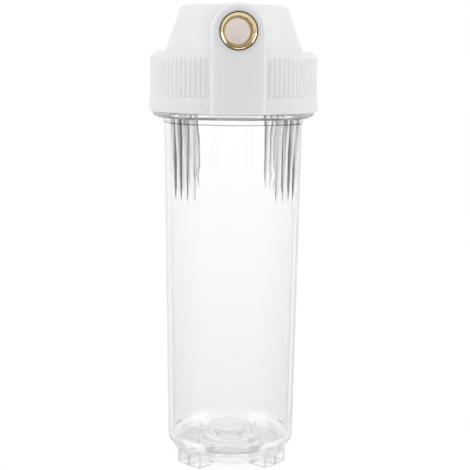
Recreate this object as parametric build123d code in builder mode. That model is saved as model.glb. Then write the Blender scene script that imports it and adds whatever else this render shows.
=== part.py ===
from build123d import *
import os

# Water prefilter housing: a white moulded head with two brass port inserts,
# a clear bowl that screws into it from below, and the ring that seals the two.
# Millimetres, +Z up, origin on the ground under the housing's axis.
# The inlet port looks along -Y and the outlet port along +Y.

# Bowl, outside
foot_height = 4.0
base_radius = 38.0
heel_radius = 43.8
heel_rise = 9.0
bowl_top_radius = 46.6
flange_height = 236.0
flange_thickness = 3.4
flange_radius = 54.4
flange_bevel_width = 2.2
flange_bevel_height = 1.7
step_proud = 0.6
step_height = 3.6

# Bowl, inside
bowl_wall = 3.2
floor_thickness = 5.3
floor_bevel_width = 5.0
floor_bevel_height = 7.6
cartridge_seat_radius = 15.9
cartridge_seat_wall = 2.2
cartridge_seat_height = 9.9
pedestal_radius = 19.2
pedestal_height = 4.3

# Feet: blocks with a round end, cored from below, with a web in the middle of each
foot_angle = 46.5
foot_width = 22.0
foot_outer_radius = 42.1
foot_inner_radius = 22.0
foot_wall = 2.4
foot_core_rise = 2.0
foot_edge_radius = 0.8
foot_sink = 0.4

# Grip ribs under the flange, for the strap of a housing wrench
rib_group_angle = 46.5
rib_pitch_angle = 7.4
ribs_per_group = 4
rib_length = 55.0
rib_point_length = 11.0
rib_top_radius = 50.6
rib_low_proud = 1.3
rib_root_width = 4.6
rib_crest_width = 2.0
rib_tip_width = 0.6

# Bowl neck, which carries the thread and the seal groove
neck_radius = 49.2
neck_height = 34.1
groove_width = 3.4
groove_depth = 2.7
seal_side_gap = 0.1
seal_bevel = 0.7

# Coarse thread between bowl and head
thread_pitch = 6.0
thread_depth = 2.2
thread_root_width = 3.3
thread_crest_width = 1.5
thread_clearance = 0.4
thread_embed = 0.4
thread_first_rise = 4.6
bowl_thread_turns = 3.0
head_thread_turns = 2.75
thread_runout = 3.0

# Head, outside
flange_gap = 0.6
collar_wall = 4.9
band_height = 10.0
band_proud = 0.6
collar_height = 35.5
shoulder_run = 4.0
shoulder_rise = 3.8
shoulder_width = 6.2
dome_taper = 10.3
dome_height = 29.7
dome_edge_radius = 3.0
dome_foot_fillet = 2.0

# Flutes round the collar, on each side from one port boss to the other
flutes_per_side = 38
flute_clear_angle = 20.6
flute_width = 1.7
flute_depth = 0.8

# Head, inside
rim_gap = 0.5
pilot_clearance = 0.4
dome_wall = 4.6
dome_roof = 6.0
hub_radius = 17.0
beam_half_width = 13.5
knife_ring_radius = 15.3
knife_ring_width = 2.4
knife_ring_drop = 4.0
spigot_radius = 12.6
spigot_drop = 12.0
outlet_bore_radius = 9.0

# Port bosses and passages
port_height = 51.6
boss_radius = 17.2
boss_proud = 1.9
boss_edge_radius = 1.8
inlet_drop_radius = 7.0
inlet_drop_offset = 33.0

# Brass port inserts, bored for a G 1/2 thread
insert_radius = 11.9
insert_length = 16.0
insert_minor_radius = 9.35
insert_bevel = 2.2
insert_lip_radius = 8.0
insert_lip_length = 1.6
insert_groove_depth = 0.6
insert_groove_width = 3.0
insert_groove_count = 2
insert_fit = 0.1

# Screw holes in the flat top, for a wall bracket
bracket_spacing_x = 44.0
bracket_spacing_y = 26.0
bracket_hole_radius = 2.1
bracket_hole_depth = 12.0
bracket_boss_wall = 2.6

# How far a cut or a joined solid runs past the face that it meets
overrun = 1.0

# Heights above the ground and radii that follow from the sizes above
heel_z = foot_height + heel_rise
floor_z = foot_height + floor_thickness
flange_top_z = flange_height + flange_thickness
rim_z = flange_top_z + neck_height
bowl_inner_top_radius = bowl_top_radius - bowl_wall
bowl_inner_heel_radius = heel_radius - bowl_wall
step_radius = bowl_top_radius + step_proud
skirt_z = flange_top_z + flange_gap
flute_z = skirt_z + band_height
flute_top_z = skirt_z + collar_height
shoulder_z = flute_top_z + shoulder_rise
dome_top_z = shoulder_z + dome_height
seal_face_z = rim_z + rim_gap
port_z = skirt_z + port_height
thread_bore_radius = neck_radius + thread_depth + thread_clearance
pilot_radius = neck_radius + pilot_clearance
band_radius = thread_bore_radius + collar_wall
flute_crest_radius = band_radius - band_proud
shoulder_radius = flute_crest_radius - shoulder_run
dome_foot_radius = shoulder_radius - shoulder_width
dome_top_radius = dome_foot_radius - dome_taper
boss_reach = band_radius + boss_proud
bowl_thread_z = flange_top_z + thread_first_rise
head_thread_z = bowl_thread_z + thread_pitch / 2
thread_bore_top_z = head_thread_z + head_thread_turns * thread_pitch + thread_runout
groove_radius = (bowl_inner_top_radius + neck_radius) / 2
pocket_radius = dome_foot_radius - dome_wall
pocket_top_z = dome_top_z - dome_roof
dome_slope = dome_taper / dome_height
insert_floor = boss_reach - insert_length


def revolved(points):
    """A solid turned about the housing's axis from an outline of radius and height."""
    with BuildPart() as turned:
        with BuildSketch(Plane.XZ):
            with BuildLine():
                Polyline(*points, close=True)
            make_face()
        revolve(axis=Axis.Z)
    return turned.part


def thread_ridge(radius, start_z, turns, side):
    """One helical ridge of the coarse thread; side is +1 outward and -1 inward."""
    with BuildPart() as ridge:
        with BuildLine() as course:
            Helix(thread_pitch, turns * thread_pitch, radius, center=(0, 0, start_z))
        start = course.line @ 0
        along = course.line % 0
        with BuildSketch(Plane(origin=start, x_dir=(side, 0, 0), z_dir=along)):
            with BuildLine():
                Polyline(
                    (-thread_embed, -thread_root_width / 2),
                    (0, -thread_root_width / 2),
                    (thread_depth, -thread_crest_width / 2),
                    (thread_depth, thread_crest_width / 2),
                    (0, thread_root_width / 2),
                    (-thread_embed, thread_root_width / 2),
                    close=True,
                )
            make_face()
        sweep(path=course.line, is_frenet=True)
    return ridge.part


def bowl_radius(z):
    """Outer radius of the tapered bowl wall at a height between heel and flange."""
    share = (z - heel_z) / (flange_height - heel_z)
    return heel_radius + share * (bowl_top_radius - heel_radius)


def rib_section(height, root_width, crest_width, crest_radius):
    """Tapered section of a rib at angle 0, from inside the bowl wall out to its crest."""
    root_radius = bowl_radius(height) - bowl_wall / 2
    with BuildSketch(Plane.XY.offset(height)) as section:
        with BuildLine():
            Polyline(
                (root_radius, -root_width / 2),
                (crest_radius, -crest_width / 2),
                (crest_radius, crest_width / 2),
                (root_radius, root_width / 2),
                close=True,
            )
        make_face()
    return section.sketch


def grip_rib():
    """One rib at angle 0: it leans in down the bowl wall and ends in a point."""
    tip_z = flange_height - rib_length
    shoulder_height = tip_z + rib_point_length
    low_radius = bowl_radius(shoulder_height) + rib_low_proud
    with BuildPart() as rib:
        add(rib_section(flange_height, rib_root_width, rib_crest_width, rib_top_radius))
        add(rib_section(shoulder_height, rib_root_width, rib_crest_width, low_radius))
        add(rib_section(tip_z, rib_tip_width, rib_tip_width, bowl_radius(tip_z)))
        loft(ruled=True)
    return rib.part


def foot_block():
    """Outside of one foot at angle 0: a block with a round end, under the chamfer."""
    chamfer_slope = heel_rise / (heel_radius - base_radius)
    root_z = foot_height + foot_sink
    outline = [
        (foot_inner_radius, 0),
        (foot_outer_radius, 0),
        (foot_outer_radius, root_z + (foot_outer_radius - base_radius) * chamfer_slope),
        (base_radius, root_z),
        (foot_inner_radius, root_z),
    ]
    with BuildPart() as block:
        add(revolved(outline))
        with BuildSketch():
            with Locations((foot_outer_radius / 2, 0)):
                Rectangle(foot_outer_radius, foot_width)
        extrude(amount=heel_z, mode=Mode.INTERSECT)
        fillet(block.edges().filter_by(Axis.Z), foot_edge_radius)
    return block.part


def foot_core():
    """The two hollows in a foot at angle 0, open from below, one each side of the web."""
    core_width = (foot_width - 3 * foot_wall) / 2
    outline = [
        (foot_inner_radius + foot_wall, -overrun),
        (foot_outer_radius - foot_wall, -overrun),
        (foot_outer_radius - foot_wall, foot_height + foot_core_rise),
        (foot_inner_radius + foot_wall, foot_height + foot_core_rise),
    ]
    with BuildPart() as core:
        add(revolved(outline))
        with BuildSketch(Plane.XY.offset(-overrun)):
            for side in (-1, 1):
                with Locations((foot_outer_radius / 2, side * (core_width + foot_wall) / 2)):
                    Rectangle(foot_outer_radius, core_width)
        extrude(amount=heel_z, mode=Mode.INTERSECT)
    return core.part


def foot_angles():
    """Directions of the feet's centres, a mirrored pair at the front and at the back."""
    return [-90 - foot_angle, -90 + foot_angle, 90 - foot_angle, 90 + foot_angle]


def rib_angles():
    """Directions of all grip ribs, in four groups."""
    middle = (ribs_per_group - 1) / 2
    offsets = [(count - middle) * rib_pitch_angle for count in range(ribs_per_group)]
    centres = [-90 - rib_group_angle, -90 + rib_group_angle, 90 - rib_group_angle, 90 + rib_group_angle]
    return [centre + offset for centre in centres for offset in offsets]


# Bowl: one clear moulding
bowl_outline = [
    (0, foot_height),
    (base_radius, foot_height),
    (heel_radius, heel_z),
    (bowl_top_radius, flange_height - step_height),
    (step_radius, flange_height - step_height),
    (step_radius, flange_height),
    (flange_radius - flange_bevel_width, flange_height),
    (flange_radius, flange_height + flange_bevel_height),
    (flange_radius, flange_top_z),
    (neck_radius, flange_top_z),
    (neck_radius, rim_z),
    (bowl_inner_top_radius, rim_z),
    (bowl_inner_top_radius, flange_height),
    (bowl_inner_heel_radius, floor_z + floor_bevel_height),
    (bowl_inner_heel_radius - floor_bevel_width, floor_z),
    (pedestal_radius, floor_z),
    (pedestal_radius, floor_z + pedestal_height),
    (cartridge_seat_radius, floor_z + pedestal_height),
    (cartridge_seat_radius, floor_z + cartridge_seat_height),
    (cartridge_seat_radius - cartridge_seat_wall, floor_z + cartridge_seat_height),
    (cartridge_seat_radius - cartridge_seat_wall, floor_z),
    (0, floor_z),
]
with BuildPart() as bowl:
    add(revolved(bowl_outline))
    for angle in foot_angles():
        add(foot_block().rotate(Axis.Z, angle))
        add(foot_core().rotate(Axis.Z, angle), mode=Mode.SUBTRACT)
    for angle in rib_angles():
        add(grip_rib().rotate(Axis.Z, angle))
    with BuildSketch(Plane.XY.offset(rim_z)):
        Circle(groove_radius + groove_width / 2)
        Circle(groove_radius - groove_width / 2, mode=Mode.SUBTRACT)
    extrude(amount=-groove_depth, mode=Mode.SUBTRACT)
    add(thread_ridge(neck_radius, bowl_thread_z, bowl_thread_turns, 1))

# Seal: a ring squashed between the floor of the groove and the head
seal_width = groove_width - 2 * seal_side_gap
seal_height = groove_depth + rim_gap
with BuildPart() as bowl_seal:
    with BuildSketch(Plane.XZ):
        with Locations((groove_radius, rim_z - groove_depth + seal_height / 2)):
            section = Rectangle(seal_width, seal_height)
        chamfer(section.vertices(), seal_bevel)
    revolve(axis=Axis.Z)

# Head: one opaque moulding
head_outline = [
    (0, seal_face_z - knife_ring_drop / 2),
    (0, dome_top_z),
    (dome_top_radius, dome_top_z),
    (dome_foot_radius, shoulder_z),
    (shoulder_radius, shoulder_z),
    (flute_crest_radius, flute_top_z),
    (flute_crest_radius, flute_z),
    (band_radius, flute_z),
    (band_radius, skirt_z),
    (thread_bore_radius, skirt_z),
    (thread_bore_radius, thread_bore_top_z),
    (pilot_radius, thread_bore_top_z + thread_bore_radius - pilot_radius),
    (pilot_radius, seal_face_z),
    (hub_radius, seal_face_z),
    (hub_radius, seal_face_z - knife_ring_drop / 2),
]
pocket_outline = [
    (hub_radius, seal_face_z - knife_ring_drop),
    (pocket_radius, seal_face_z - knife_ring_drop),
    (pocket_radius, shoulder_z),
    (pocket_radius - (pocket_top_z - shoulder_z) * dome_slope, pocket_top_z),
    (hub_radius, pocket_top_z),
]
knife_ring_outline = [
    (knife_ring_radius - knife_ring_width / 2, seal_face_z),
    (knife_ring_radius, seal_face_z - knife_ring_drop),
    (knife_ring_radius + knife_ring_width / 2, seal_face_z),
]

# Water space under the dome: two pockets, one each side of the beam of the ports
with BuildPart() as pockets:
    add(revolved(pocket_outline))
    with BuildSketch(Plane.XY.offset(seal_face_z)):
        Rectangle(2 * beam_half_width, 2 * band_radius)
    extrude(amount=dome_height + shoulder_rise, mode=Mode.SUBTRACT)
    for side_x in (-1, 1):
        for side_y in (-1, 1):
            with BuildSketch(Plane.XY.offset(dome_top_z)):
                with Locations((side_x * bracket_spacing_x / 2, side_y * bracket_spacing_y / 2)):
                    Circle(bracket_hole_radius + bracket_boss_wall)
            extrude(amount=-bracket_hole_depth - bracket_boss_wall, mode=Mode.SUBTRACT)


def port_boss(side):
    """Slab with a half-round top, from inside the dome out to the port's face."""
    facing = Plane(origin=(0, side * boss_reach, 0), x_dir=(-side, 0, 0), z_dir=(0, side, 0))
    with BuildPart() as boss:
        with BuildSketch(facing):
            with Locations((0, port_z)):
                Circle(boss_radius)
            with BuildLine():
                Polyline(
                    (-boss_radius, skirt_z),
                    (boss_radius, skirt_z),
                    (boss_radius, port_z),
                    (-boss_radius, port_z),
                    close=True,
                )
            make_face()
        extrude(amount=-boss_reach)
        front = boss.faces().sort_by(Axis.Y)[-1 if side > 0 else 0]
        rounded = front.edges().filter_by(lambda edge: edge.center().Z > skirt_z + boss_edge_radius)
        fillet(rounded, boss_edge_radius)
        skirt_bore = revolved(
            [
                (0, skirt_z - overrun),
                (band_radius - overrun, skirt_z - overrun),
                (band_radius - overrun, flute_top_z - overrun),
                (shoulder_radius - overrun, shoulder_z - overrun),
                (0, shoulder_z - overrun),
            ]
        )
        add(skirt_bore, mode=Mode.SUBTRACT)
    return boss.part


def flute_section():
    """V of one flute, with its floor at the origin and its mouth past the crest along +X."""
    mouth = flute_depth + overrun
    half_mouth = flute_width / 2 * mouth / flute_depth
    with BuildSketch() as flute:
        with BuildLine():
            Polyline((0, 0), (mouth, -half_mouth), (mouth, half_mouth), close=True)
        make_face()
    return flute.sketch


def bore_along_y(radius, near, far, side):
    """Cylinder along the port axis from one distance off the housing's axis to another."""
    facing = Plane(origin=(0, side * near, port_z), x_dir=(1, 0, 0), z_dir=(0, side, 0))
    with BuildPart() as bore:
        with BuildSketch(facing):
            Circle(radius)
        extrude(amount=far - near)
    return bore.part


with BuildPart() as head:
    add(revolved(head_outline))
    dome_edge = head.edges().filter_by(GeomType.CIRCLE).group_by(Axis.Z)[-1]
    fillet(dome_edge, dome_edge_radius)
    dome_foot = head.edges().filter_by(GeomType.CIRCLE).filter_by_position(Axis.Z, shoulder_z, shoulder_z)
    fillet(dome_foot.sort_by(SortBy.RADIUS)[0], dome_foot_fillet)
    with BuildSketch(Plane.XY.offset(flute_z)):
        for side in (0, 180):
            with PolarLocations(
                flute_crest_radius - flute_depth,
                flutes_per_side,
                start_angle=side - 90 + flute_clear_angle,
                angular_range=180 - 2 * flute_clear_angle,
                endpoint=True,
            ):
                add(flute_section())
    extrude(amount=shoulder_z - flute_z, mode=Mode.SUBTRACT)
    for side in (-1, 1):
        add(port_boss(side))
    add(pockets.part, mode=Mode.SUBTRACT)
    add(revolved(knife_ring_outline))
    with BuildSketch(Plane.XY.offset(seal_face_z - spigot_drop)):
        Circle(spigot_radius)
    extrude(amount=spigot_drop)
    for side in (-1, 1):
        add(bore_along_y(insert_radius + insert_fit, insert_floor, boss_reach, side), mode=Mode.SUBTRACT)
    inlet_end = inlet_drop_offset - inlet_drop_radius
    add(bore_along_y(insert_lip_radius, inlet_end, insert_floor, -1), mode=Mode.SUBTRACT)
    add(bore_along_y(insert_lip_radius, 0, insert_floor, 1), mode=Mode.SUBTRACT)
    with BuildSketch(Plane.XY.offset(seal_face_z)):
        with Locations((0, -inlet_drop_offset)):
            Circle(inlet_drop_radius)
    extrude(amount=port_z - seal_face_z, mode=Mode.SUBTRACT)
    with BuildSketch(Plane.XY.offset(seal_face_z - spigot_drop)):
        Circle(outlet_bore_radius)
    extrude(amount=port_z + outlet_bore_radius - seal_face_z + spigot_drop, mode=Mode.SUBTRACT)
    with BuildSketch(Plane.XY.offset(dome_top_z)):
        with GridLocations(bracket_spacing_x, bracket_spacing_y, 2, 2):
            Circle(bracket_hole_radius)
    extrude(amount=-bracket_hole_depth, mode=Mode.SUBTRACT)
    add(thread_ridge(thread_bore_radius, head_thread_z, head_thread_turns, -1))


def port_insert(side):
    """Brass insert, turned: bevelled mouth, bore, stop lip and holding grooves."""
    groove_pitch = insert_length / (insert_groove_count + 1)
    facing = Plane(origin=(0, side * boss_reach, port_z), x_dir=(1, 0, 0), z_dir=(0, -side, 0))
    with BuildPart() as insert:
        with BuildSketch(facing):
            Circle(insert_radius)
        extrude(amount=insert_length)
        with BuildSketch(facing):
            Circle(insert_minor_radius)
        extrude(amount=insert_length - insert_lip_length, mode=Mode.SUBTRACT)
        with BuildSketch(facing):
            Circle(insert_lip_radius)
        extrude(amount=insert_length, mode=Mode.SUBTRACT)
        mouth = insert.edges().filter_by(GeomType.CIRCLE).group_by(Axis.Y)[-1 if side > 0 else 0]
        chamfer(mouth.sort_by(SortBy.RADIUS)[0], insert_bevel)
        for count in range(insert_groove_count):
            depth = (count + 1) * groove_pitch - insert_groove_width / 2
            with BuildSketch(facing.offset(depth)):
                Circle(insert_radius)
                Circle(insert_radius - insert_groove_depth, mode=Mode.SUBTRACT)
            extrude(amount=insert_groove_width, mode=Mode.SUBTRACT)
    return insert.part


with BuildPart() as inlet_insert:
    add(port_insert(-1))

with BuildPart() as outlet_insert:
    add(port_insert(1))

# One file for each piece
os.makedirs("parts", exist_ok=True)
head.part.label = "head"
inlet_insert.part.label = "inlet_insert"
outlet_insert.part.label = "outlet_insert"
bowl.part.label = "bowl"
bowl_seal.part.label = "bowl_seal"
export_step(head.part, "parts/head.step")
export_step(inlet_insert.part, "parts/inlet_insert.step")
export_step(outlet_insert.part, "parts/outlet_insert.step")
export_step(bowl.part, "parts/bowl.step")
export_step(bowl_seal.part, "parts/bowl_seal.step")
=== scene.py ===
import math
import bmesh
import bpy
from mathutils import Matrix, Vector


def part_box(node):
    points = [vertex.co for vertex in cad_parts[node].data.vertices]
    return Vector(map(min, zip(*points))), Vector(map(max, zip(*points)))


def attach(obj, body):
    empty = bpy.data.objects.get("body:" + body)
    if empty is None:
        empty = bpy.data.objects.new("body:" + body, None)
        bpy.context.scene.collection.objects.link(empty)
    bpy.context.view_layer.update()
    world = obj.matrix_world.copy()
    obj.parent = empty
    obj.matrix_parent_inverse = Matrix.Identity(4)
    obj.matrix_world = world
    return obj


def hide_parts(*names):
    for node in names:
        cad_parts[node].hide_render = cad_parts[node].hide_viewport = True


# Looks of the prefilter housing: clear bowl, white head and threaded brass port inserts,
# on a plain white floor. Metres, in the frame of the solids.

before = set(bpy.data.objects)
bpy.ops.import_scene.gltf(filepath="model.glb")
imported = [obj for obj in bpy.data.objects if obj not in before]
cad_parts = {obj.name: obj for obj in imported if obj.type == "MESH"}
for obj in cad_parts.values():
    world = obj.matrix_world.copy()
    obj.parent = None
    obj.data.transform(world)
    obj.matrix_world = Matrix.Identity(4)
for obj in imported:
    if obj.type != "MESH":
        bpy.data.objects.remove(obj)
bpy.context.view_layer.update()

# Camera: distance from the housing's axis, height, direction and framing
CAMERA_DISTANCE = 0.7325
CAMERA_HEIGHT = 0.2757
CAMERA_AZIMUTH = math.radians(2.9)
CAMERA_TILT = math.radians(9.38)
CAMERA_ROLL = math.radians(0.56)
PICTURE_SIDE = 470
FOCAL_PIXELS = 1078
AXIS_PIXEL = 232.1
SENSOR_WIDTH = 36.0
CLIP_START = 0.01
CLIP_END = 50.0

# Floor: its size, its white, and the share of it that holds the shadow
FLOOR_RADIUS = 6.0
FLOOR_RIM_POINTS = 64
FLOOR_WHITE = (0.85, 0.85, 0.85)
FLOOR_SHADE = 0.12
FLOOR_LIT_LEVEL = 0.57

# Soft light, and the ceiling that shows in gloss and glass, by the height of the direction
AMBIENT_LEVEL = 0.67
HORIZON_FADE = 0.001
CEILING_START = 0.3
CEILING_END = 0.8
CEILING_LEVEL = 0.5

# Square lamps, one at each side and one above
LAMP_TARGET = (0, 0, 0.2)
LAMP_SIZE = 1.0
SIDE_LAMP_REACH = 1.5
SIDE_LAMP_FRONT = -0.35
SIDE_LAMP_HEIGHT = 1.0
SIDE_LAMP_POWER = 7.0
TOP_LAMP_FRONT = -0.2
TOP_LAMP_HEIGHT = 1.8
TOP_LAMP_POWER = 3.0

# Bowl: heights and radii that tell feet, wall, step, ribs, flange and neck apart
HEEL_HEIGHT = 0.013
HEEL_RADIUS = 0.0438
STEP_HEIGHT = 0.2324
STEP_PROUD = 0.0006
FLANGE_HEIGHT = 0.236
FLANGE_TOP = 0.2396
WALL_TOP_RADIUS = 0.0466
WALL_INNER_RADIUS = 0.0395
REGION_MARGIN = 0.00015
RIB_FADE = 0.0006
FOOT_FADE = 0.001
CREASE_WIDTH = 0.001

# Clear plastic: painted shade at the foot and at the top of the bowl, and where it sets in
PAINTED_SHADE_START = 0.02
PAINTED_SHADE_END = 0.225
BASE_FADE = 0.007
# Where Layer Weight's facing sets in the painted side shade and the painted outline
SIDE_START = 0.08
SIDE_END = 0.8
OUTLINE_START = 0.68
OUTLINE_END = 0.97
# Painted shades of the body, the sides and the outline, at the foot and at the top of the bowl
BODY_PAINTED_SHADES = ((0.913, 0.913, 0.908), (0.999, 0.999, 0.999))
SIDE_PAINTED_SHADES = ((0.78, 0.785, 0.79), (0.92, 0.925, 0.93))
OUTLINE_PAINTED_SHADES = ((0.34, 0.35, 0.36), (0.62, 0.63, 0.64))
# Painted light at the foot: near white in place of the painted side shade
BASE_PAINTED_LIGHT = (0.985, 0.985, 0.985)
# Painted grey shade on the ribs and flange rim, in place of the side shade
RIB_PAINTED_SHADE = (0.95, 0.95, 0.95)
# Painted dark shade in the crease at the foot of the step
CREASE_PAINTED_SHADE = (0.3, 0.305, 0.31)
CLEAR_IOR = 1.45
RIB_HAZE = 0.42
FLANGE_HAZE = 0.2
FOOT_ALPHA = 0.7
MATTE_ROUGHNESS = 0.08
POLISH_ROUGHNESS = 0.02

# White plastic, with a painted glow in the port passages
HEAD_WHITES = ((0.845, 0.845, 0.85), (0.87, 0.87, 0.87))
HEAD_IOR = 1.49
PASSAGE_MARGIN = 0.0004
PASSAGE_PAINTED_GLOW_COLOUR = (1.0, 0.88, 0.80)
PASSAGE_PAINTED_GLOW = 0.225

# Rubber and brass; the seam is between a brass rim and the plastic round it and holds painted shade, and
# painted shade also darkens the brass deeper in the bore
RUBBER_BLACKS = ((0.012, 0.012, 0.012), (0.03, 0.03, 0.03))
BRASS_COLOURS = ((0.83, 0.69, 0.43), (0.90, 0.77, 0.52))
# Painted shade for the brass deeper in the bore
BORE_SHADED_BRASS = (0.66, 0.52, 0.31)
# Painted shade in the seam between the brass rim and the plastic
SEAM_PAINTED_SHADE = (0.10, 0.065, 0.025)
SEAM_WIDTH = 0.001
SEAM_CORE = 0.0006
# Depths where the brass turns duller and the painted shade sets in
DULL_AND_SHADE_START = 0.0018
DULL_AND_SHADE_END = 0.0034
DULL_ROUGHNESS = 0.4

# Ports: parallel pipe thread of half an inch, cut through a bevelled mouth
THREAD_PITCH = 0.001814
THREAD_MAJOR_RADIUS = 0.010478
THREAD_MINOR_RADIUS = 0.00935
THREAD_FLAT = 0.15
THREAD_RUNOUT_PITCHES = 1.5
MOUTH_BEVEL = 0.0022
MOUTH_ROUNDNESS = 0.4
MOUTH_ROWS = 20
LIP_RADIUS = 0.008
LIP_LENGTH = 0.0016
RIM_ROUND = 0.0005
RIM_ROWS = 5
HOLD_GROOVE_DEPTH = 0.0006
HOLD_GROOVE_WIDTH = 0.003
HOLD_GROOVE_COUNT = 2
TURN_POINTS = 112
THREAD_ROWS_PER_PITCH = 12
SHARP_ANGLE = math.radians(28)

# Coarse thread on the bowl's neck: one right-hand ridge, with ends that run out
NECK_RADIUS = 0.0492
COARSE_START = 0.244
COARSE_PITCH = 0.006
COARSE_TURNS = 3
COARSE_DEPTH = 0.0022
COARSE_ROOT = 0.0033
COARSE_CREST = 0.0015
COARSE_EMBED = 0.0002
COARSE_RUNOUT_TURNS = 0.07
COARSE_STEPS = 120


def new_material(name):
    """A material whose only nodes are a Principled shader and the output."""
    material = bpy.data.materials.new(name)
    material.use_nodes = True
    shader = material.node_tree.nodes["Principled BSDF"]
    return material, material.node_tree, shader


def combine(tree, operation, first, second):
    """A maths node on two sockets or numbers."""
    node = tree.nodes.new("ShaderNodeMath")
    node.operation = operation
    for place, value in zip(node.inputs, (first, second)):
        if isinstance(value, float):
            place.default_value = value
        else:
            tree.links.new(value, place)
    return node.outputs[0]


def product(tree, first, *others):
    """Product of two or more sockets or numbers."""
    result = first
    for other in others:
        result = combine(tree, "MULTIPLY", result, other)
    return result


def object_point(tree):
    """Socket of the surface point in the object's own frame, in metres."""
    return tree.nodes.new("ShaderNodeTexCoord").outputs["Object"]


def coordinates(tree):
    """The three coordinates of the surface point, in metres."""
    split = tree.nodes.new("ShaderNodeSeparateXYZ")
    tree.links.new(object_point(tree), split.inputs[0])
    return split.outputs


def distance(tree, first, second):
    """Length of the flat vector with these two coordinates."""
    squares = combine(tree, "ADD", product(tree, first, first), product(tree, second, second))
    return combine(tree, "POWER", squares, 0.5)


def noise(tree, scale, detail=3.0):
    """Noise over the object, with so many cells to a metre."""
    node = tree.nodes.new("ShaderNodeTexNoise")
    node.inputs["Scale"].default_value = scale
    node.inputs["Detail"].default_value = detail
    node.inputs["Roughness"].default_value = 0.5
    tree.links.new(object_point(tree), node.inputs["Vector"])
    return node.outputs["Fac"]


def spread(tree, value, low, high, start=0.3, end=0.7):
    """Maps a value between start and end onto a range of numbers."""
    node = tree.nodes.new("ShaderNodeMapRange")
    node.inputs["From Min"].default_value = start
    node.inputs["From Max"].default_value = end
    node.inputs["To Min"].default_value = low
    node.inputs["To Max"].default_value = high
    tree.links.new(value, node.inputs["Value"])
    return node.outputs["Result"]


def mix_colours(tree, value, first, second):
    """Blends two colours, each a constant or a socket, by a value."""
    node = tree.nodes.new("ShaderNodeMix")
    node.data_type = "RGBA"
    for place, colour in (("A", first), ("B", second)):
        if isinstance(colour, tuple):
            node.inputs[place].default_value = (*colour, 1)
        else:
            tree.links.new(colour, node.inputs[place])
    tree.links.new(value, node.inputs["Factor"])
    return node.outputs["Result"]


def mix_shaders(tree, value, first, second):
    """Blends two shaders by a value."""
    node = tree.nodes.new("ShaderNodeMixShader")
    tree.links.new(value, node.inputs[0])
    tree.links.new(first.outputs[0], node.inputs[1])
    tree.links.new(second.outputs[0], node.inputs[2])
    return node.outputs[0]


def add_bump(tree, shader, height, strength, depth):
    """Bump from a height value, with its depth in metres."""
    node = tree.nodes.new("ShaderNodeBump")
    node.inputs["Strength"].default_value = strength
    node.inputs["Distance"].default_value = depth
    tree.links.new(height, node.inputs["Height"])
    tree.links.new(node.outputs["Normal"], shader.inputs["Normal"])


def white_plastic(axis_height, insert_floor):
    """White moulded polypropylene with a satin gloss, and a painted glow in the port passages."""
    material, tree, shader = new_material("white_plastic")
    tree.links.new(mix_colours(tree, noise(tree, 14.0), *HEAD_WHITES), shader.inputs["Base Color"])
    tree.links.new(spread(tree, noise(tree, 60.0), 0.34, 0.44), shader.inputs["Roughness"])
    shader.inputs["IOR"].default_value = HEAD_IOR
    shader.inputs["Subsurface Weight"].default_value = 0.7
    shader.inputs["Subsurface Radius"].default_value = (1.0, 0.93, 0.86)
    shader.inputs["Subsurface Scale"].default_value = 0.006
    x, y, z = coordinates(tree)
    away = distance(tree, x, combine(tree, "SUBTRACT", z, axis_height))
    within = combine(tree, "LESS_THAN", away, LIP_RADIUS + PASSAGE_MARGIN)
    deep = combine(tree, "LESS_THAN", combine(tree, "ABSOLUTE", y, 0.0), insert_floor + PASSAGE_MARGIN)
    # Painted glow: emission in the port passages, in place of light through the white walls
    shader.inputs["Emission Color"].default_value = (*PASSAGE_PAINTED_GLOW_COLOUR, 1)
    tree.links.new(product(tree, within, deep, PASSAGE_PAINTED_GLOW), shader.inputs["Emission Strength"])
    add_bump(tree, shader, noise(tree, 2500.0, 2.0), 0.1, 0.0001)
    return material


def bowl_regions(tree, x, y, z):
    """Masks that are 1 in their own region of the bowl and 0 elsewhere."""
    away = distance(tree, x, y)
    taper = (WALL_TOP_RADIUS - HEEL_RADIUS) / (FLANGE_HEIGHT - HEEL_HEIGHT)
    wall = combine(tree, "ADD", product(tree, z, taper), HEEL_RADIUS - taper * HEEL_HEIGHT)
    above_step = combine(tree, "GREATER_THAN", z, STEP_HEIGHT - REGION_MARGIN)
    wall = combine(tree, "ADD", wall, product(tree, above_step, STEP_PROUD))
    proud = spread(tree, combine(tree, "SUBTRACT", away, wall), 0.0, 1.0, REGION_MARGIN, RIB_FADE)
    above_ribs = combine(tree, "GREATER_THAN", z, FLANGE_HEIGHT - REGION_MARGIN)
    below_neck = combine(tree, "LESS_THAN", z, FLANGE_TOP)
    outside = combine(tree, "GREATER_THAN", away, WALL_TOP_RADIUS - STEP_PROUD)
    step_foot = spread(tree, z, 1.0, 0.0, STEP_HEIGHT + CREASE_WIDTH / 2, STEP_HEIGHT + CREASE_WIDTH)
    return {
        "outer": combine(tree, "GREATER_THAN", away, WALL_INNER_RADIUS),
        "feet": spread(tree, z, 1.0, 0.0, HEEL_HEIGHT - FOOT_FADE, HEEL_HEIGHT),
        "proud": product(tree, proud, below_neck),
        "ribs": product(tree, proud, combine(tree, "SUBTRACT", 1.0, above_ribs)),
        "flange_rim": product(tree, above_ribs, proud, below_neck),
        "crease": product(tree, outside, above_step, step_foot),
    }


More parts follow.
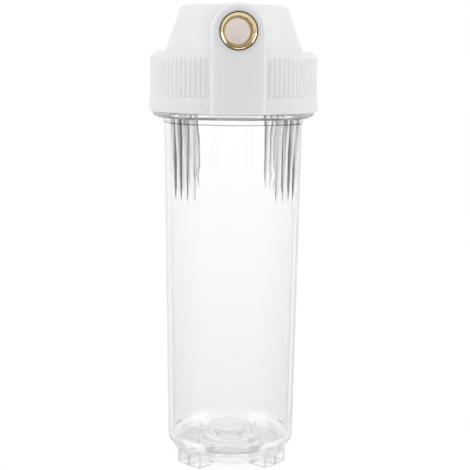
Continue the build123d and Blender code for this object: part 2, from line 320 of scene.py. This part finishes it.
def clear_painted_shade(tree, z, regions):
    """Painted shade on the clear plastic: greyer low down, towards the sides and most along the outline;
    painted near white at the foot, grey on the ribs and dark in the step's crease.
    """
    rise = spread(tree, z, 0.0, 1.0, PAINTED_SHADE_START, PAINTED_SHADE_END)
    body = mix_colours(tree, rise, *BODY_PAINTED_SHADES)
    sides = mix_colours(tree, rise, *SIDE_PAINTED_SHADES)
    outline = mix_colours(tree, rise, *OUTLINE_PAINTED_SHADES)
    # Painted shade towards the sides and along the outline, from Layer Weight's facing
    layer = tree.nodes.new("ShaderNodeLayerWeight")
    layer.inputs["Blend"].default_value = 0.5
    facing = layer.outputs["Facing"]
    side = product(tree, spread(tree, facing, 0.0, 1.0, SIDE_START, SIDE_END), regions["outer"])
    edged = combine(tree, "MAXIMUM", regions["outer"], regions["feet"])
    graze = product(tree, spread(tree, facing, 0.0, 1.0, OUTLINE_START, OUTLINE_END), edged)
    base = spread(tree, z, 1.0, 0.0, HEEL_HEIGHT, HEEL_HEIGHT + BASE_FADE)
    shaded_colour = mix_colours(tree, side, body, sides)
    shaded_colour = mix_colours(tree, base, shaded_colour, BASE_PAINTED_LIGHT)
    shaded_colour = mix_colours(tree, graze, shaded_colour, outline)
    # Painted grey shade on the ribs and flange rim
    shaded_colour = mix_colours(tree, regions["proud"], shaded_colour, RIB_PAINTED_SHADE)
    # Painted dark shade in the crease at the foot of the step
    return mix_colours(tree, regions["crease"], shaded_colour, CREASE_PAINTED_SHADE)


def clear_plastic():
    """Clear polished plastic with hazy grip ribs and flange rim, and thinner-looking feet."""
    material, tree, shader = new_material("clear_plastic")
    x, y, z = coordinates(tree)
    regions = bowl_regions(tree, x, y, z)
    # The base colour carries the painted shade of the clear plastic
    tree.links.new(clear_painted_shade(tree, z, regions), shader.inputs["Base Color"])
    haze = combine(tree, "MAXIMUM", product(tree, regions["ribs"], RIB_HAZE),
                   product(tree, regions["flange_rim"], FLANGE_HAZE))
    tree.links.new(combine(tree, "SUBTRACT", 1.0, haze), shader.inputs["Transmission Weight"])
    alpha = spread(tree, regions["feet"], 1.0, FOOT_ALPHA, 0.0, 1.0)
    tree.links.new(alpha, shader.inputs["Alpha"])
    matte = product(tree, combine(tree, "MAXIMUM", regions["feet"], regions["ribs"]), MATTE_ROUGHNESS)
    polish = spread(tree, noise(tree, 30.0), 0.0, POLISH_ROUGHNESS)
    tree.links.new(combine(tree, "MAXIMUM", matte, polish), shader.inputs["Roughness"])
    shader.inputs["IOR"].default_value = CLEAR_IOR
    add_bump(tree, shader, noise(tree, 25.0, 1.0), 0.01, 0.0005)
    return material


def black_rubber():
    """Black seal rubber."""
    material, tree, shader = new_material("black_rubber")
    tree.links.new(mix_colours(tree, noise(tree, 300.0), *RUBBER_BLACKS), shader.inputs["Base Color"])
    tree.links.new(spread(tree, noise(tree, 900.0), 0.5, 0.65), shader.inputs["Roughness"])
    add_bump(tree, shader, noise(tree, 4000.0), 0.2, 0.0001)
    return material


def brass(rim_radius, axis_height, reach):
    """Turned brass: polished at the mouth, duller with painted shade inside, and painted shade in the
    seam with the plastic.
    """
    material, tree, shader = new_material("brass")
    shader.inputs["Metallic"].default_value = 1.0
    x, y, z = coordinates(tree)
    away = distance(tree, x, combine(tree, "SUBTRACT", z, axis_height))
    # Painted shade in the seam where the brass rim meets the plastic
    seam = spread(tree, away, 0.0, 1.0, rim_radius - SEAM_WIDTH, rim_radius - SEAM_CORE)
    # Painted shade deeper in the bore, where the brass is also rougher
    depth = combine(tree, "SUBTRACT", reach, combine(tree, "ABSOLUTE", y, 0.0))
    inside = combine(tree, "SUBTRACT", spread(tree, depth, 0.0, 1.0, DULL_AND_SHADE_START, DULL_AND_SHADE_END), seam)
    inside = combine(tree, "MAXIMUM", inside, 0.0)
    metal = mix_colours(tree, noise(tree, 250.0), *BRASS_COLOURS)
    bore_shaded = mix_colours(tree, inside, metal, BORE_SHADED_BRASS)
    tree.links.new(mix_colours(tree, seam, bore_shaded, SEAM_PAINTED_SHADE), shader.inputs["Base Color"])
    polish = spread(tree, noise(tree, 700.0), 0.08, 0.16)
    dull = product(tree, combine(tree, "MAXIMUM", seam, inside), DULL_ROUGHNESS)
    tree.links.new(combine(tree, "MAXIMUM", polish, dull), shader.inputs["Roughness"])
    add_bump(tree, shader, noise(tree, 3000.0), 0.05, 0.00005)
    return material


def thread_height(depth, turn, end):
    """0 on the thread's crest and 1 in its root, at a depth in the bore and a turn round it."""
    phase = (depth / THREAD_PITCH + turn / (2 * math.pi)) % 1.0
    flank = min(max((abs(2 * phase - 1) - THREAD_FLAT) / (1 - 2 * THREAD_FLAT), 0.0), 1.0)
    runout = min(max((end - depth) / (THREAD_RUNOUT_PITCHES * THREAD_PITCH), 0.0), 1.0)
    return flank * flank * (3 - 2 * flank) * runout


def mouth_radius(depth):
    """Radius of the mouth's bevel at a depth: a cone with a part of a round in it."""
    left = max(1 - depth / MOUTH_BEVEL, 0.0)
    rounded = 1 - math.sqrt(1 - left * left)
    return THREAD_MINOR_RADIUS + MOUTH_BEVEL * (left + MOUTH_ROUNDNESS * (rounded - left))


def insert_rows(radius, length):
    """Section of an insert as rows of (depth, radius, threaded), once round from the bore's mouth."""
    stop = length - LIP_LENGTH
    mouth_turns = [math.pi / 2 * step / MOUTH_ROWS for step in range(MOUTH_ROWS)]
    depths = [MOUTH_BEVEL * (1 - math.cos(turn)) for turn in mouth_turns]
    steps = round((stop - MOUTH_BEVEL) / THREAD_PITCH * THREAD_ROWS_PER_PITCH)
    depths += [MOUTH_BEVEL + (stop - MOUTH_BEVEL) * step / steps for step in range(steps + 1)]
    rows = [(depth, THREAD_MINOR_RADIUS, True) for depth in depths]
    rows += [(stop, LIP_RADIUS, False), (length, LIP_RADIUS, False), (length, radius, False)]
    for count in range(HOLD_GROOVE_COUNT, 0, -1):
        middle = count * length / (HOLD_GROOVE_COUNT + 1)
        far = middle + HOLD_GROOVE_WIDTH / 2
        near = middle - HOLD_GROOVE_WIDTH / 2
        inner = radius - HOLD_GROOVE_DEPTH
        rows += [(far, radius, False), (far, inner, False), (near, inner, False), (near, radius, False)]
    for step in range(RIM_ROWS):
        lean = math.pi / 2 * step / (RIM_ROWS - 1)
        rows.append((RIM_ROUND * (1 - math.sin(lean)), radius - RIM_ROUND * (1 - math.cos(lean)), False))
    return rows


def new_object(name, data):
    """An object in the scene with this mesh, lamp or camera."""
    made = bpy.data.objects.new(name, data)
    bpy.context.scene.collection.objects.link(made)
    return made


def join_rings(solid, ring, after):
    """A band of faces between two rings with the same number of points."""
    for count in range(len(ring)):
        beside = (count + 1) % len(ring)
        solid.faces.new((ring[count], ring[beside], after[beside], after[count]))


def finished_piece(name, solid, material):
    """An object in the scene from built faces: smooth, but sharp at its corners."""
    bmesh.ops.recalc_face_normals(solid, faces=solid.faces)
    for face in solid.faces:
        face.smooth = True
    mesh = bpy.data.meshes.new(name)
    solid.to_mesh(mesh)
    solid.free()
    mesh.set_sharp_from_angle(angle=SHARP_ANGLE)
    mesh.materials.append(material)
    return new_object(name, mesh)


def threaded_insert(name, node, side, material):
    """Brass insert with its real thread, turned about the port's axis in place of the plain solid."""
    low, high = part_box(node)
    radius = (high[0] - low[0]) / 2
    length = high[1] - low[1]
    axis_height = (high[2] + low[2]) / 2
    mouth = high[1] if side > 0 else low[1]
    solid = bmesh.new()
    rings = []
    for depth, plain_radius, threaded in insert_rows(radius, length):
        ring = []
        for count in range(TURN_POINTS):
            turn = 2 * math.pi * count / TURN_POINTS
            reach = plain_radius
            if threaded:
                cut = thread_height(depth, turn, length - LIP_LENGTH)
                reach += (THREAD_MAJOR_RADIUS - THREAD_MINOR_RADIUS) * cut
                reach = max(reach, mouth_radius(depth))
            place = (-side * reach * math.cos(turn), mouth - side * depth,
                     axis_height + reach * math.sin(turn))
            ring.append(solid.verts.new(place))
        rings.append(ring)
    for row, ring in enumerate(rings):
        join_rings(solid, ring, rings[(row + 1) % len(rings)])
    piece = finished_piece(name, solid, material)
    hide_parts(node)
    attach(piece, "head")


def bowl_thread(name, material):
    """The coarse thread on the bowl's neck, as a ridge with a flat crest and sloping flanks."""
    solid = bmesh.new()
    rings = []
    for step in range(COARSE_TURNS * COARSE_STEPS + 1):
        turns = step / COARSE_STEPS
        turn = 2 * math.pi * turns
        rise = COARSE_START + COARSE_PITCH * turns
        from_end = min(turns, COARSE_TURNS - turns)
        depth = COARSE_DEPTH * min(from_end / COARSE_RUNOUT_TURNS, 1.0)
        section = (
            (-COARSE_EMBED, -COARSE_ROOT / 2),
            (depth, -COARSE_CREST / 2),
            (depth, COARSE_CREST / 2),
            (-COARSE_EMBED, COARSE_ROOT / 2),
        )
        ring = []
        for proud, offset in section:
            reach = NECK_RADIUS + proud
            place = (reach * math.cos(turn), reach * math.sin(turn), rise + offset)
            ring.append(solid.verts.new(place))
        rings.append(ring)
    for ring, after in zip(rings, rings[1:]):
        join_rings(solid, ring, after)
    solid.faces.new(rings[0])
    solid.faces.new(rings[-1])
    piece = finished_piece(name, solid, material)
    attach(piece, "bowl")


def dress(node, material):
    """Gives every material slot of a solid the same finish."""
    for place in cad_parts[node].material_slots:
        place.material = material


def shown(tree):
    """1 for the rays that show the studio: the camera's, and those off gloss and through glass."""
    path = tree.nodes.new("ShaderNodeLightPath")
    seen = path.outputs["Is Camera Ray"]
    for name in ("Is Glossy Ray", "Is Transmission Ray"):
        seen = combine(tree, "MAXIMUM", seen, path.outputs[name])
    return seen


def floor_material():
    """Pale floor: it holds the shadow, and lets the white below it and the lowered bowl be seen."""
    material, tree, shader = new_material("floor_white")
    shader.inputs["Base Color"].default_value = (*FLOOR_WHITE, 1)
    shader.inputs["Roughness"].default_value = 0.9
    shader.inputs["Specular IOR Level"].default_value = 0.0
    clear = tree.nodes.new("ShaderNodeBsdfTransparent")
    mixed = mix_shaders(tree, product(tree, shown(tree), 1 - FLOOR_SHADE), shader, clear)
    tree.links.new(mixed, tree.nodes["Material Output"].inputs["Surface"])
    return material


def add_floor():
    """A round pale floor under the feet."""
    mesh = bpy.data.meshes.new("floor")
    turns = [2 * math.pi * count / FLOOR_RIM_POINTS for count in range(FLOOR_RIM_POINTS)]
    rim = [(FLOOR_RADIUS * math.cos(turn), FLOOR_RADIUS * math.sin(turn), 0) for turn in turns]
    mesh.from_pydata(rim, [], [list(range(FLOOR_RIM_POINTS))])
    mesh.materials.append(floor_material())
    new_object("floor", mesh)


def white_light(tree):
    """A white background shader."""
    node = tree.nodes.new("ShaderNodeBackground")
    node.inputs["Color"].default_value = (1, 1, 1, 1)
    return node


def lit_world():
    """White studio, with a dimmer ceiling in gloss and glass, and a soft even light on the rest."""
    world = bpy.data.worlds.new("studio")
    bpy.context.scene.world = world
    world.use_nodes = True
    tree = world.node_tree
    tree.nodes.clear()
    output = tree.nodes.new("ShaderNodeOutputWorld")
    light = white_light(tree)
    light.inputs["Strength"].default_value = AMBIENT_LEVEL
    white = white_light(tree)
    split = tree.nodes.new("ShaderNodeSeparateXYZ")
    tree.links.new(tree.nodes.new("ShaderNodeTexCoord").outputs["Generated"], split.inputs[0])
    ceiling = spread(tree, split.outputs["Z"], 1.0, CEILING_LEVEL, CEILING_START, CEILING_END)
    ground_level = (1 - FLOOR_SHADE * FLOOR_LIT_LEVEL) / (1 - FLOOR_SHADE)
    ground = spread(tree, split.outputs["Z"], ground_level, 1.0, -HORIZON_FADE, 0.0)
    path = tree.nodes.new("ShaderNodeLightPath")
    above = combine(tree, "MAXIMUM", ceiling, path.outputs["Is Camera Ray"])
    tree.links.new(product(tree, above, ground), white.inputs["Strength"])
    tree.links.new(mix_shaders(tree, shown(tree), light, white), output.inputs["Surface"])


def soft_lamp(name, place, power):
    """A square area lamp that looks at the housing."""
    lamp = bpy.data.lights.new(name, "AREA")
    lamp.size = LAMP_SIZE
    lamp.energy = power
    holder = new_object(name, lamp)
    holder.location = place
    holder.rotation_mode = "QUATERNION"
    holder.rotation_quaternion = (Vector(LAMP_TARGET) - Vector(place)).to_track_quat("-Z", "Y")


def add_camera():
    """The camera at the photograph's place, tilt and framing."""
    data = bpy.data.cameras.new("camera")
    data.sensor_width = SENSOR_WIDTH
    data.lens = FOCAL_PIXELS * SENSOR_WIDTH / PICTURE_SIDE
    data.shift_x = (PICTURE_SIDE / 2 - AXIS_PIXEL) / PICTURE_SIDE
    data.clip_start = CLIP_START
    data.clip_end = CLIP_END
    camera = new_object("camera", data)
    back = Vector((-math.sin(CAMERA_AZIMUTH), -math.cos(CAMERA_AZIMUTH), 0))
    camera.location = back * CAMERA_DISTANCE + Vector((0, 0, CAMERA_HEIGHT))
    level = Matrix.Rotation(-CAMERA_AZIMUTH, 4, "Z") @ Matrix.Rotation(math.pi / 2 - CAMERA_TILT, 4, "X")
    turn = level @ Matrix.Rotation(CAMERA_ROLL, 4, "Z")
    camera.rotation_mode = "QUATERNION"
    camera.rotation_quaternion = turn.to_quaternion()
    bpy.context.scene.camera = camera


# Finishes and pieces
port_low, port_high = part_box("inlet_insert")
port_radius = (port_high[0] - port_low[0]) / 2
port_height = (port_high[2] + port_low[2]) / 2
port_brass = brass(port_radius, port_height, -port_low[1])
clear = clear_plastic()
dress("head", white_plastic(port_height, -port_high[1]))
dress("bowl", clear)
dress("bowl_seal", black_rubber())
dress("inlet_insert", port_brass)
dress("outlet_insert", port_brass)
threaded_insert("inlet_threaded_insert", "inlet_insert", -1, port_brass)
threaded_insert("outlet_threaded_insert", "outlet_insert", 1, port_brass)
bowl_thread("bowl_thread", clear)

# Studio and camera
lit_world()
add_floor()
for name, side in (("left_softbox", -1), ("right_softbox", 1)):
    soft_lamp(name, (side * SIDE_LAMP_REACH, SIDE_LAMP_FRONT, SIDE_LAMP_HEIGHT), SIDE_LAMP_POWER)
soft_lamp("top_softbox", (0, TOP_LAMP_FRONT, TOP_LAMP_HEIGHT), TOP_LAMP_POWER)
add_camera()

bpy.context.scene.view_settings.view_transform = "Standard"
